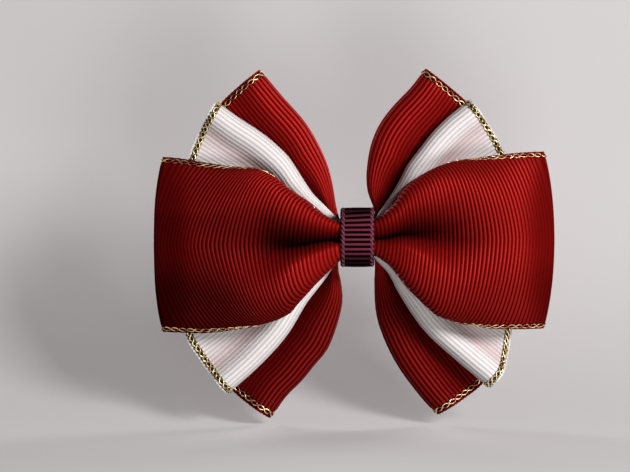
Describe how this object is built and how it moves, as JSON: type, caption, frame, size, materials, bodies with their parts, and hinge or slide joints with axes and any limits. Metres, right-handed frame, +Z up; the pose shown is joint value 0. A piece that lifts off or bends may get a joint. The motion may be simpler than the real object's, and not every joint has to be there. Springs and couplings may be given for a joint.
{
  "type": "hair bow",
  "caption": "Layered grosgrain hair bow with a pleated front loop over petal fans, bound by a centre wrap onto a sprung hair clip.",
  "frame": {"origin": "middle of the flat rear face of the centre wrap, which lies against the hair", "axes": "+X along the bow's width and the clip's length, +Y towards the hair, +Z up; the bow's front faces -Y"},
  "size_m": [0.0902, 0.0299, 0.0803],
  "materials": {
    "red_grosgrain": "matte",
    "white_grosgrain": "matte",
    "burgundy_grosgrain": "matte",
    "gold_lurex": "gloss",
    "nickel_steel": "satin",
    "spring_steel": "satin",
    "sewing_thread": "matte",
    "hot_melt_glue": "gloss"
  },
  "bodies": {
    "bow": {"front_loop": "red_grosgrain", "front_loop_gold_top": "gold_lurex", "front_loop_gold_bottom": "gold_lurex", "red_fan_left": "red_grosgrain", "red_fan_left_gold": "gold_lurex", "red_fan_right": "red_grosgrain", "red_fan_right_gold": "gold_lurex", "white_fan_left": "white_grosgrain", "white_fan_left_gold": "gold_lurex", "white_fan_right": "white_grosgrain", "white_fan_right_gold": "gold_lurex", "centre_wrap": "burgundy_grosgrain", "front_loop_thread": "sewing_thread", "left_fan_thread": "sewing_thread", "right_fan_thread": "sewing_thread", "knot_glue_pad": "hot_melt_glue", "wrap_glue_dab": "hot_melt_glue", "clip_base_jaw": "nickel_steel", "clip_hinge_pin": "nickel_steel", "clip_torsion_spring": "spring_steel"},
    "clip_jaw": {"clip_lever_jaw": "nickel_steel"}
  },
  "joints": [
    {"name": "clip_jaw_hinge", "type": "hinge", "parent": "bow", "child": "clip_jaw", "pos_m": [0.014, 0.0016, 0], "axis": [0, 0, -1], "range_deg": [0, 26], "stiffness_Nm_per_rad": 0.0005, "springref_deg": -20.05, "deforming": ["clip_torsion_spring"]}
  ]
}
